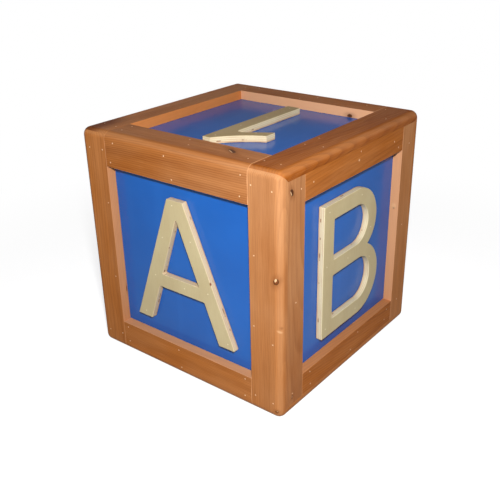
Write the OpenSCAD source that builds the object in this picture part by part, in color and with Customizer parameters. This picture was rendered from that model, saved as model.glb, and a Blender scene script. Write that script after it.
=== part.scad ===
// Jumbo framed alphabet block: a blue plywood box, dressed on all six sides with frame boards
// and a raised plywood character. Lengths are in millimetres and +Z is up.
// The origin is the middle of the bottom face, the front looks along -Y and the right side along +X.

/* [Block] */
// Outer side of the cube
block_side = 460; // [430:1:520]
// Radius of the rounded outer edges
edge_r = 15; // [6:0.5:16]

/* [Frame boards] */
// Thickness of the frame boards
board_t = 19; // [17:0.5:24]
// Width of the frame boards on the front, top, back and bottom
board_w = 65; // [50:1:75]

/* [Plywood box] */
// Thickness of the blue panels
panel_t = 12.7; // [9:0.1:18]
// Side of the square posts in the box's upright corners
post_side = 19; // [12:1:40]

/* [Brads] */
// Diameter of a brad's shank
shank_d = 1.6; // [1:0.1:2]
// Diameter of a brad's head, and of the filled hole above it
head_d = 2.6; // [2.2:0.1:3.4]
// Thickness of a brad's head
head_t = 1; // [0.5:0.1:1.5]
// Depth of the filler above each head
set_depth = 1.5; // [0.5:0.1:3]
// Wood left below a brad's point
point_cover = 3; // [1:0.5:5]

/* [Characters] */
// Thickness of the plywood characters
char_t = 12.7; // [8:0.1:16]
// Gap between a character and the boards above and below it
char_gap = 34; // [20:1:60]
// Width of the characters' strokes, as a share of their height
stroke_share = 0.1183; // [0.1:0.001:0.13]

/* [Letter A, in shares of its height] */
// Width across the feet
a_width_share = 0.934; // [0.76:0.001:1]
// Width of the flat top
a_top_w_share = 0.143; // [0.09:0.001:0.17]
// How far the flat top leans to the left
a_lean_share = 0.019; // [0:0.001:0.03]
// Width of each foot
a_foot_w_share = 0.1405; // [0.12:0.001:0.15]
// Height where the inner edges of the legs meet
a_peak_share = 0.869; // [0.85:0.001:0.89]
// Height of the crossbar's lower edge
a_bar_z_share = 0.3015; // [0.23:0.001:0.36]
// Depth of the crossbar
a_bar_h_share = 0.105; // [0.08:0.001:0.13]

/* [Letter B, in shares of its height] */
// Width over the lower bowl
b_width_share = 0.755; // [0.72:0.001:0.8]
// Width over the upper bowl
b_upper_w_share = 0.7; // [0.61:0.001:0.71]
// Width of the upright
b_spine_share = 0.126; // [0.1:0.001:0.14]
// Height of the lower counter
b_lower_gap_share = 0.3435; // [0.33:0.001:0.36]
// Radius of the upper bowl below its widest point
b_waist_r_share = 0.2328; // [0.21:0.001:0.26]
// Radius of the lower bowl
b_lower_r_share = 0.2786; // [0.27:0.001:0.29]

// How far the letter was nailed to the right of the panel's middle, and below it
b_aside_share = 0.0134; // [0:0.0001:0.02]
b_drop_share = 0.0076; // [0:0.0001:0.02]

/* [Letter C, in shares of its height] */
// Width of the letter
c_width_share = 0.7176; // [0.61:0.001:0.84]
// Height of the mouth
c_mouth_share = 0.3282; // [0.23:0.001:0.42]

/* [Digit 1, in shares of its height] */
// Reach of the flag beyond the stem
one_reach_share = 0.2443; // [0.17:0.001:0.29]
// Width of the flat top
one_top_w_share = 0.0687; // [0.04:0.001:0.1]
// Drop from the top to the upper corner of the flag's end
one_flag_top_share = 0.2462; // [0.19:0.001:0.29]
// Drop from the top to the lower corner of the flag's end
one_flag_foot_share = 0.3511; // [0.31:0.001:0.42]
// Drop from the top to the nook between flag and stem
one_nook_share = 0.1985; // [0.18:0.001:0.27]
// Rise of the arc that hollows the flag's upper edge
one_hollow_share = 0.0286; // [0.015:0.001:0.038]
// Radius in the nook
one_nook_r_share = 0.0305; // [0.012:0.001:0.046]

/* [Digit 2] */
// Width of the digit, as a share of its height
two_width_share = 0.6565; // [0.61:0.001:0.7]
// Angle below level at which the bowl runs into the slope
two_turn = 50; // [46:1:54]
// Angle above level at which the bowl ends
two_hook = 12; // [4:1:24]

/* [Digit 3] */
// Radius of the upper bowl, as a share of the digit's height
three_upper_r_share = 0.2595; // [0.245:0.001:0.275]
// Length of the middle bar left of the bowls' centre line, as a share of the height
three_bar_share = 0.084; // [0.04:0.001:0.13]
// Angle past level at which each bowl ends
three_hook = 28; // [16:1:40]

/* [Hidden] */
$fn = 64;
// Overrun of every cut past the face that it leaves
over = 1;
board_colour = "#b5713d";
panel_colour = "#2b66b8";
char_colour = "#c3b384";
post_colour = "#c79a66";
brad_colour = "#9a9a98";
filler_colour = "#e3c79a";

half = block_side / 2;
// Side of the plywood box, which the frame boards cover
box_side = block_side - 2 * board_t;
// Side of the opening that a frame leaves
opening = block_side - 2 * board_w;
frame_brad_l = board_t + panel_t - set_depth - point_cover;
char_brad_l = char_t + panel_t - set_depth - point_cover;
// Height of the characters, and what is worked out from it
char_h = opening - 2 * char_gap;
stroke = stroke_share * char_h;
a_width = a_width_share * char_h;
a_top_w = a_top_w_share * char_h;
a_lean = a_lean_share * char_h;
a_foot_w = a_foot_w_share * char_h;
a_peak = a_peak_share * char_h;
a_bar_z = a_bar_z_share * char_h;
a_bar_h = a_bar_h_share * char_h;
b_width = b_width_share * char_h;
b_upper_w = b_upper_w_share * char_h;
b_spine = b_spine_share * char_h;
b_aside = b_aside_share * char_h;
b_drop = b_drop_share * char_h;
b_lower_gap = b_lower_gap_share * char_h;
b_upper_gap = char_h - 3 * stroke - b_lower_gap;
b_waist_r = b_waist_r_share * char_h;
b_lower_r = b_lower_r_share * char_h;
c_width = c_width_share * char_h;
c_mouth_h = c_mouth_share * char_h;
one_reach = one_reach_share * char_h;
one_top_w = one_top_w_share * char_h;
one_flag_top = one_flag_top_share * char_h;
one_flag_foot = one_flag_foot_share * char_h;
one_nook = one_nook_share * char_h;
one_hollow = one_hollow_share * char_h;
one_nook_r = one_nook_r_share * char_h;
two_width = two_width_share * char_h;
three_upper_r = three_upper_r_share * char_h;
three_lower_r = (char_h + stroke) / 2 - three_upper_r;
three_bar = three_bar_share * char_h;

// One row a face: its name, the turn that lays a flat drawing on it, its directions right, up and out
// as seen from outside, the names of its left, right, upper and lower boards, and its character
FACES = [
    ["front", [90, 0, 0], [1, 0, 0], [0, 0, 1], [0, -1, 0],
        ["left_stile", "right_stile", "top_rail", "bottom_rail"], "letter_a"],
    ["right", [90, 0, 90], [0, 1, 0], [0, 0, 1], [1, 0, 0],
        ["left_stile", "right_stile", "top_rail", "bottom_rail"], "letter_b"],
    ["back", [90, 0, 180], [-1, 0, 0], [0, 0, 1], [0, 1, 0],
        ["left_stile", "right_stile", "top_rail", "bottom_rail"], "digit_2"],
    ["left", [90, 0, 270], [0, -1, 0], [0, 0, 1], [-1, 0, 0],
        ["left_stile", "right_stile", "top_rail", "bottom_rail"], "letter_c"],
    ["top", [0, 0, 0], [1, 0, 0], [0, 1, 0], [0, 0, 1],
        ["left_board", "right_board", "back_board", "front_board"], "digit_1"],
    ["bottom", [180, 0, 0], [1, 0, 0], [0, -1, 0], [0, 0, -1],
        ["left_board", "right_board", "front_board", "back_board"], "digit_3"]
];
function name_of(face) = face[0];
// The right and left faces carry a frame that is set in between the edges of the other four
function is_inset(face) = face[4].x != 0;
function board_node(face, i) = str(name_of(face), "_", face[5][i]);
function char_node(face) = str(name_of(face), "_", face[6]);
function part_node(face, part) = str(name_of(face), "_", part);

POSTS = [["front_left", -1, -1], ["front_right", 1, -1], ["back_right", 1, 1], ["back_left", -1, 1]];

// Places of the brads in each board: shares of its width from the outer edge, and of its length
// from the lower or left end. A row holds the left, right, upper and lower board.
UPRIGHT_BRAD_SHARES = [
    [[0.32, 0.068], [0.89, 0.075], [0.86, 0.36], [0.89, 0.70], [0.34, 0.923], [0.88, 0.925]],
    [[0.27, 0.069], [0.87, 0.071], [0.27, 0.332], [0.88, 0.383], [0.84, 0.673], [0.27, 0.929], [0.90, 0.935]],
    [[0.85, 0.034], [0.27, 0.067], [0.27, 0.453], [0.88, 0.498], [0.83, 0.95], [0.27, 0.958]],
    [[0.86, 0.038], [0.36, 0.04], [0.85, 0.463], [0.27, 0.477], [0.89, 0.956], [0.33, 0.953]]
];
LEVEL_BRAD_SHARES = [
    [[0.34, 0.09], [0.86, 0.085], [0.85, 0.46], [0.34, 0.72], [0.36, 0.92], [0.87, 0.915]],
    [[0.4, 0.077], [0.89, 0.077], [0.85, 0.313], [0.34, 0.323], [0.85, 0.407], [0.34, 0.787], [0.86, 0.92]],
    [[0.42, 0.065], [0.84, 0.45], [0.41, 0.53], [0.42, 0.886]],
    [[0.44, 0.0545], [0.85, 0.05], [0.46, 0.547], [0.83, 0.49], [0.45, 0.938]]
];
INSET_BRAD_SHARES = [
    [[0.32, 0.053], [0.5, 0.48], [0.76, 0.95]],
    [[0.46, 0.094], [0.52, 0.507], [0.42, 0.909]],
    [[0.43, 0.072], [0.16, 0.52], [0.48, 0.505], [0.45, 0.893], [0.78, 0.947]],
    [[0.23, 0.078], [0.83, 0.072], [0.22, 0.505], [0.81, 0.586], [0.28, 0.919], [0.75, 0.942]]
];
// Places of the brads in the characters: shares of the width from the middle, and of the height from the foot
A_BRAD_SHARES = [[-0.043, 0.963], [0.118, 0.735], [-0.165, 0.7], [-0.271, 0.381], [0.03, 0.356],
    [0.264, 0.383], [-0.411, 0.043], [0.438, 0.043]];
B_BRAD_SHARES = [[-0.419, 0.951], [0.129, 0.947], [0.327, 0.653], [-0.442, 0.558], [-0.079, 0.521],
    [0.33, 0.414], [-0.438, 0.07], [0.102, 0.051]];
C_BRAD_SHARES = [[0.293, 0.87], [-0.028, 0.94], [-0.376, 0.76], [-0.418, 0.5], [-0.376, 0.23],
    [0.014, 0.06], [0.279, 0.125]];
ONE_BRAD_SHARES = [[0.014, 0.05], [-0.028, 0.36], [0.028, 0.64], [0, 0.93], [-0.552, 0.735]];
TWO_BRAD_SHARES = [[-0.335, 0.83], [0, 0.945], [0.366, 0.76], [0.244, 0.46], [-0.152, 0.235],
    [-0.305, 0.06], [0.335, 0.05]];
THREE_BRAD_SHARES = [[-0.217, 0.91], [0.317, 0.83], [0.083, 0.545], [0.384, 0.36], [0.083, 0.06],
    [-0.267, 0.115]];

function brad_shares(face) =
    is_inset(face) ? INSET_BRAD_SHARES : face[4].z != 0 ? LEVEL_BRAD_SHARES : UPRIGHT_BRAD_SHARES;
function char_shares(face) =
    face[6] == "letter_a" ? A_BRAD_SHARES
    : face[6] == "letter_b" ? B_BRAD_SHARES
    : face[6] == "letter_c" ? C_BRAD_SHARES
    : face[6] == "digit_1" ? ONE_BRAD_SHARES
    : face[6] == "digit_2" ? TWO_BRAD_SHARES
    : THREE_BRAD_SHARES;
function char_width(face) =
    face[6] == "letter_a" ? a_width
    : face[6] == "letter_b" ? b_width
    : face[6] == "letter_c" ? c_width
    : face[6] == "digit_1" ? stroke + one_reach
    : face[6] == "digit_2" ? two_width
    : 2 * three_lower_r;

// Distance from the face's middle to the outer edge of its frame, and the width of the boards there
function frame_half(face) = is_inset(face) ? half - board_t : half;
function width_of(face) = is_inset(face) ? board_w - board_t : board_w;

// Place on the face of a point that lies a share of the width in and a share of the length along board i
function on_board(face, i, share) = let(
        in = frame_half(face) - share.x * width_of(face),
        tall = 2 * frame_half(face) * (share.y - 0.5),
        wide = opening * (share.y - 0.5)
    ) i == 0 ? [-in, tall] : i == 1 ? [in, tall] : i == 2 ? [wide, in] : [wide, -in];

function frame_brads(face) = [for (i = [0:3]) for (share = brad_shares(face)[i]) on_board(face, i, share)];
// The digit on top stands on its head, so that it reads from the back
function char_turn(face) = name_of(face) == "top" ? -1 : 1;
// Middle of a character on its face
function char_middle(face) = face[6] == "letter_b" ? [b_aside, -b_drop] : [0, 0];
function char_brads(face) = [
    for (share = char_shares(face))
        char_middle(face) + char_turn(face) * [share.x * char_width(face), (share.y - 0.5) * char_h]
];

// One brad: its face, the middle of its filled hole in the wood's face, and its length
function brads_of(face) = concat(
    [for (p = frame_brads(face)) [face, [p.x, p.y, 0], frame_brad_l]],
    [for (p = char_brads(face)) [face, [p.x, p.y, char_t - board_t], char_brad_l]]
);
BRADS = [for (face = FACES) for (brad = brads_of(face)) brad];

// A point on a face, and the box of a piece there, as seen from the middle of the block
function placed(face, p) = face[2] * p.x + face[3] * p.y + face[4] * (half + p.z);
function low(a, b) = [min(a.x, b.x), min(a.y, b.y), min(a.z, b.z)];
function high(a, b) = [max(a.x, b.x), max(a.y, b.y), max(a.z, b.z)];
function box(face, a, b) = let(p = placed(face, a), q = placed(face, b)) [low(p, q), high(p, q)];
function brad_box(brad) = let(r = head_d / 2, p = brad[1]) box(
    brad[0],
    [p.x - r, p.y - r, p.z - set_depth - brad[2]],
    [p.x + r, p.y + r, p.z]
);
function meet(a, b) =
    min([for (k = [0:2]) a[1][k] - b[0][k]]) > 0 && min([for (k = [0:2]) b[1][k] - a[0][k]]) > 0;

// Box of board i of a face
function board_box(face, i) = let(
        far = frame_half(face),
        near = far - width_of(face),
        long = i < 2 ? far : near,
        a = i == 0 ? [-far, -long] : i == 1 ? [near, -long] : i == 2 ? [-long, near] : [-long, -far],
        b = i == 0 ? [-near, long] : i == 1 ? [far, long] : i == 2 ? [long, far] : [long, -near]
    ) box(face, [a.x, a.y, -board_t], [b.x, b.y, 0]);

// Half sides of a face's panel: the front and back ones cover the edges of the others
function panel_half(face) = [
    box_side / 2 - (face[4].y == 0 ? panel_t : 0),
    box_side / 2 - (face[4].z == 0 ? 0 : panel_t)
];

// Lays a drawing on a face: its z is 0 on the outer plane and grows outwards
module on_face(face) {
    translate([0, 0, half]) rotate(face[1]) translate([0, 0, half]) children();
}

// The hole of a brad, and the brad with its head
module brad_hole(brad) {
    on_face(brad[0]) translate(brad[1]) {
        translate([0, 0, -set_depth - head_t]) cylinder(d = head_d, h = set_depth + head_t + over);
        translate([0, 0, -set_depth - brad[2]]) cylinder(d = shank_d, h = brad[2]);
    }
}

module brad_body(brad) {
    on_face(brad[0]) translate(brad[1]) translate([0, 0, -set_depth]) {
        translate([0, 0, -head_t]) cylinder(d = head_d, h = head_t);
        translate([0, 0, -brad[2]]) cylinder(d = shank_d, h = brad[2]);
    }
}

// Drills a piece for every brad that reaches its box
module drilled(piece_box) {
    difference() {
        children();
        for (brad = BRADS) if (meet(piece_box, brad_box(brad))) brad_hole(brad);
    }
}

// What a rounding cutter takes off the cube's edge along axis k, on the sides a and b of the next two axes
module edge_waste(k, a, b) {
    turns = [[90, 0, 90], [-90, -90, 0], [0, 0, 0]];
    translate([0, 0, half]) rotate(turns[k])
        mirror([a < 0 ? 1 : 0, 0, 0]) mirror([0, b < 0 ? 1 : 0, 0])
        translate([half - edge_r, half - edge_r, -half - over])
        linear_extrude(block_side + 2 * over) difference() {
            square(edge_r + over);
            circle(r = edge_r);
        }
}

function at_side(piece_box, k, side) =
    side > 0 ? piece_box[1][k] > half - edge_r : piece_box[0][k] < edge_r - half;

// Rounds a piece wherever it forms part of the cube's outer edges
module rounded(piece_box) {
    difference() {
        children();
        for (k = [0:2]) for (a = [-1, 1]) for (b = [-1, 1])
            if (at_side(piece_box, (k + 1) % 3, a) && at_side(piece_box, (k + 2) % 3, b)) edge_waste(k, a, b);
    }
}

// An upright of the wrapping frames: full length, with a mitre at each end
module wrap_stile(side) {
    translate([side < 0 ? -half : half - board_w, 0, 0]) rotate([90, 0, 90])
        linear_extrude(board_w)
        polygon([[-half, 0], [half, 0], [half - board_t, -board_t], [board_t - half, -board_t]]);
}

// A rail of the wrapping frames: it butts between the uprights and is mitred along its outer edge
module wrap_rail(side) {
    mirror([0, side < 0 ? 1 : 0, 0]) translate([-opening / 2, 0, 0]) rotate([90, 0, 90])
        linear_extrude(opening)
        polygon([[opening / 2, 0], [half, 0], [half - board_t, -board_t], [opening / 2, -board_t]]);
}

module inset_stile(side) {
    far = half - board_t;
    translate([side < 0 ? -far : half - board_w, -far, -board_t]) cube([board_w - board_t, 2 * far, board_t]);
}

module inset_rail(side) {
    far = half - board_t;
    translate([-opening / 2, side < 0 ? -far : opening / 2, -board_t])
        cube([opening, board_w - board_t, board_t]);
}

// Board i of a frame: left, right, upper, lower
module frame_board(face, i) {
    side = i % 3 == 0 ? -1 : 1;
    color(board_colour) drilled(board_box(face, i)) rounded(board_box(face, i)) on_face(face) {
        if (is_inset(face) && i < 2) inset_stile(side);
        if (is_inset(face) && i >= 2) inset_rail(side);
        if (!is_inset(face) && i < 2) wrap_stile(side);
        if (!is_inset(face) && i >= 2) wrap_rail(side);
    }
}

module panel(face) {
    reach = panel_half(face);
    corner = [reach.x, reach.y, 0];
    deep = [0, 0, -board_t - panel_t];
    skin = [0, 0, -board_t];
    color(panel_colour) drilled(box(face, deep - corner, skin + corner))
        on_face(face) translate(deep - corner) cube([2 * reach.x, 2 * reach.y, panel_t]);
}

module corner_post(sx, sy) {
    wall = board_t + panel_t;
    place = half - wall - post_side / 2;
    color(post_colour) translate([sx * place, sy * place, half])
        cube([post_side, post_side, block_side - 2 * wall], center = true);
}

module letter_a() {
    // Half the spread between the inner edges at the foot line, where they meet, and their two slopes
    inner = a_width / 2 - a_foot_w;
    tip = -a_lean * a_peak / char_h;
    rise = (inner + tip) / a_peak;
    fall = (inner - tip) / a_peak;
    bar_top = a_bar_z + a_bar_h;
    difference() {
        polygon([[-a_width / 2, 0], [-a_top_w / 2 - a_lean, char_h], [a_top_w / 2 - a_lean, char_h],
            [a_width / 2, 0]]);
        polygon([[-inner + rise * bar_top, bar_top], [tip, a_peak], [inner - fall * bar_top, bar_top]]);
        polygon([[-inner - rise * over, -over], [-inner + rise * a_bar_z, a_bar_z],
            [inner - fall * a_bar_z, a_bar_z], [inner + fall * over, -over]]);
    }
}

// A bar from the left edge that ends in a half disc on the right
module counter(width, height) {
    r = height / 2;
    square([width - r, height]);
    translate([width - r, r]) circle(r = r);
}

module letter_b() {
    upper_r = b_upper_gap / 2 + stroke;
    widest = char_h - upper_r;
    lower_r = min(b_lower_r, b_lower_gap / 2 + stroke);
    corner_r = lower_r - stroke;
    translate([-b_width / 2, 0]) difference() {
        union() {
            square([b_width - lower_r, 2 * lower_r]);
            translate([b_width - lower_r, lower_r]) circle(r = lower_r);
            translate([0, lower_r]) square([b_upper_w - upper_r, char_h - lower_r]);
            intersection() {
                translate([b_upper_w - upper_r, widest]) circle(r = upper_r);
                translate([0, widest]) square([b_width, upper_r + over]);
            }
            translate([0, widest - b_waist_r]) square([b_upper_w - b_waist_r, b_waist_r]);
            intersection() {
                translate([b_upper_w - b_waist_r, widest]) circle(r = b_waist_r);
                translate([0, widest - b_waist_r - over]) square([b_width, b_waist_r + 2 * over]);
            }
        }
        translate([b_spine, char_h - stroke - b_upper_gap])
            counter(b_upper_w - b_spine - stroke, b_upper_gap);
        translate([b_spine, stroke]) square([b_width - b_spine - stroke - corner_r, b_lower_gap]);
        translate([b_width - stroke - corner_r, stroke + corner_r]) circle(r = corner_r);
        translate([b_width - stroke - corner_r, stroke + b_lower_gap - corner_r]) circle(r = corner_r);
        translate([b_width - stroke - corner_r, stroke + corner_r])
            square([corner_r, b_lower_gap - 2 * corner_r]);
    }
}

// A shape of two half discs with a straight stretch between them
module oval(width, height) {
    translate([-width / 2, width / 2]) square([width, height - width]);
    translate([0, width / 2]) circle(d = width);
    translate([0, height - width / 2]) circle(d = width);
}

module letter_c() {
    difference() {
        oval(c_width, char_h);
        translate([0, stroke]) oval(c_width - 2 * stroke, char_h - 2 * stroke);
        translate([0, (char_h - c_mouth_h) / 2]) square([c_width / 2 + over, c_mouth_h]);
    }
}

// What lies between two directions, as seen from the middle of a bowl
module wedge(r, from, to) {
    steps = 4;
    polygon(concat(
        [[0, 0]],
        [for (i = [0:steps]) let(turn = from + (to - from) * i / steps) 2 * r * [cos(turn), sin(turn)]]
    ));
}

// A ring of the stroke's width, without what lies between two directions
module bowl(r, from, to) {
    difference() {
        circle(r = r);
        circle(r = r - stroke);
        wedge(r, from, to);
    }
}

module digit_1() {
    right = stroke / 2;
    tip = -right - one_reach;
    flat_end = [right - one_top_w, char_h];
    flag_end = [tip, char_h - one_flag_top];
    nook = [-right, char_h - one_nook];
    // The hollow edge is an arc from the end of the flat top to the flag's end
    chord = flag_end - flat_end;
    hollow_r = norm(chord) * norm(chord) / (8 * one_hollow) + one_hollow / 2;
    outward = [chord.y, -chord.x] / norm(chord);
    // Half the angle of the open nook, whose corner is filled to a radius
    nook_half = atan2(one_reach, one_flag_foot - one_nook) / 2;
    nook_run = one_nook_r / tan(nook_half);
    nook_centre = nook + [-one_nook_r, -nook_run];
    difference() {
        polygon([[right, 0], [right, char_h], flat_end, flag_end, [tip, char_h - one_flag_foot],
            nook - nook_run * [sin(2 * nook_half), cos(2 * nook_half)], nook_centre,
            nook - [0, nook_run], [-right, 0]]);
        translate((flat_end + flag_end) / 2 + outward * (hollow_r - one_hollow)) circle(r = hollow_r);
        translate(nook_centre) circle(r = one_nook_r);
    }
}

module digit_2() {
    r = two_width / 2;
    centre = [0, char_h - r];
    outer = centre + r * [cos(two_turn), -sin(two_turn)];
    inner = centre + (r - stroke) * [cos(two_turn), -sin(two_turn)];
    slope = [-sin(two_turn), -cos(two_turn)];
    // The slope laps half a stroke into the end of the bowl
    lap = (outer + inner - slope * stroke) / 2;
    translate(centre) bowl(r, 180 - two_hook, 360 - two_turn);
    translate([-r, 0]) square([two_width, stroke]);
    intersection() {
        polygon([outer, lap, inner, inner + slope * inner.y / cos(two_turn),
            outer + slope * outer.y / cos(two_turn)]);
        translate([-r, 0]) square([two_width, char_h]);
    }
}

module digit_3() {
    translate([0, char_h - three_upper_r]) bowl(three_upper_r, 180 - three_hook, 270);
    translate([0, three_lower_r]) bowl(three_lower_r, 90, 180 + three_hook);
    translate([-three_bar, 2 * three_lower_r - stroke]) square([three_bar + over, stroke]);
}

module character(face) {
    reach = opening / 2;
    room = box(face, [-reach, -reach, -board_t], [reach, reach, char_t - board_t]);
    middle = char_middle(face);
    color(char_colour) drilled(room) on_face(face) translate([middle.x, middle.y, -board_t])
        rotate([0, 0, char_turn(face) < 0 ? 180 : 0]) translate([0, -char_h / 2, 0]) linear_extrude(char_t) {
            if (face[6] == "letter_a") letter_a();
            if (face[6] == "letter_b") letter_b();
            if (face[6] == "letter_c") letter_c();
            if (face[6] == "digit_1") digit_1();
            if (face[6] == "digit_2") digit_2();
            if (face[6] == "digit_3") digit_3();
        }
}

// The brads of one length in a face, which all drive in from its outside
module brads(face, length) {
    color(brad_colour) for (brad = brads_of(face)) if (brad[2] == length) brad_body(brad);
}

// The wood filler over every brad of a face
module filler(face) {
    color(filler_colour) for (brad = brads_of(face))
        on_face(face) translate(brad[1]) translate([0, 0, -set_depth]) cylinder(d = head_d, h = set_depth);
}

for (face = FACES) {
    for (i = [0:3]) frame_board(face, i);
    panel(face);
    character(face);
    brads(face, frame_brad_l);
    brads(face, char_brad_l);
    filler(face);
}
for (post = POSTS) corner_post(post[1], post[2]);
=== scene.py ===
"""Dresses a jumbo framed alphabet block: planed boards, painted panels and plywood characters.

Lengths are in metres. +Z is up, the front of the block looks along -Y and its right side along +X.
Left and right on a face are as seen from outside the block.
"""

import logging
import math
import random
from dataclasses import dataclass
from enum import Enum

import bmesh
import bpy
from mathutils import Matrix, Vector


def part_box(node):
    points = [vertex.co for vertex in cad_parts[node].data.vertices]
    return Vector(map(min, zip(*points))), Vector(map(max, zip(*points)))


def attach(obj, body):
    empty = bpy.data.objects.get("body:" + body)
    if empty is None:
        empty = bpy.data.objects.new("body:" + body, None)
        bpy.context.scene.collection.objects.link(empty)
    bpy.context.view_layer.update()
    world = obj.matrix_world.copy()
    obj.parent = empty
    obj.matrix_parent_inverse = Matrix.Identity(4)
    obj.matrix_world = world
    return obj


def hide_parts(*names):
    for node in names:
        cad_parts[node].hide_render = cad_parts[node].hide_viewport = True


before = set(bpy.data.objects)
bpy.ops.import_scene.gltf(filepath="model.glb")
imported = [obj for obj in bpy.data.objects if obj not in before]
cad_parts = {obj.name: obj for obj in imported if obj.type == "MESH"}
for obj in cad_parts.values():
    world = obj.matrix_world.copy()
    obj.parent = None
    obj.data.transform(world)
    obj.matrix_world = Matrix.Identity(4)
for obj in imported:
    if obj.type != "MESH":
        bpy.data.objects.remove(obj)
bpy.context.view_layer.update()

BODY = "root"
MM = 0.001
WELD = 2e-6  # how near to each other the doubled points of a new mesh lie
FINE_WELD = 1e-6  # the same for a CAD mesh
ON_PLANE = 1e-7  # how near to a cutting plane a point counts as on it
SEED_SPREAD = 50  # how far apart the boards' patterns may start

log = logging.getLogger("alphabet_block")

Number = float | int


# --- Shader maths -------------------------------------------------------------------------------


class Wire:
    """One output of a node tree. Arithmetic on it adds Math nodes."""

    def __init__(self, net: "Net", socket: bpy.types.NodeSocket) -> None:
        """Wraps a socket.

        Args:
            net: The node tree that the socket belongs to.
            socket: The output to wrap.
        """
        self.net = net
        self.socket = socket

    def _math(self, operation: str, first: "Wire | Number", second: "Wire | Number") -> "Wire":
        """Adds a Math node.

        Args:
            operation: Blender's name of the operation.
            first: The left operand.
            second: The right operand.

        Returns:
            The node's value.
        """
        return self.net.node("ShaderNodeMath", {"operation": operation}, {0: first, 1: second})

    def __add__(self, other: "Wire | Number") -> "Wire":
        """This plus other."""
        return self._math("ADD", self, other)

    def __radd__(self, other: Number) -> "Wire":
        """Other plus this."""
        return self._math("ADD", other, self)

    def __sub__(self, other: "Wire | Number") -> "Wire":
        """This less other."""
        return self._math("SUBTRACT", self, other)

    def __rsub__(self, other: Number) -> "Wire":
        """Other less this."""
        return self._math("SUBTRACT", other, self)

    def __mul__(self, other: "Wire | Number") -> "Wire":
        """This times other."""
        return self._math("MULTIPLY", self, other)

    def __rmul__(self, other: Number) -> "Wire":
        """Other times this."""
        return self._math("MULTIPLY", other, self)

    def __truediv__(self, other: "Wire | Number") -> "Wire":
        """This over other."""
        return self._math("DIVIDE", self, other)

    def __pow__(self, other: Number) -> "Wire":
        """This to a power."""
        return self._math("POWER", self, other)

    def __abs__(self) -> "Wire":
        """This without its sign."""
        return self._math("ABSOLUTE", self, 0)

    def turns(self) -> "Wire":
        """What is left of this after its whole part, from 0 to 1."""
        return self._math("FRACT", self, 0)

    def most(self, other: "Wire | Number") -> "Wire":
        """The larger of this and other."""
        return self._math("MAXIMUM", self, other)


# What a node's input takes, distances in several directions, and red, green, blue and alpha
Value = Wire | Number
Place = tuple[Value, ...]
Colour = tuple[float, float, float, float]


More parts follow.
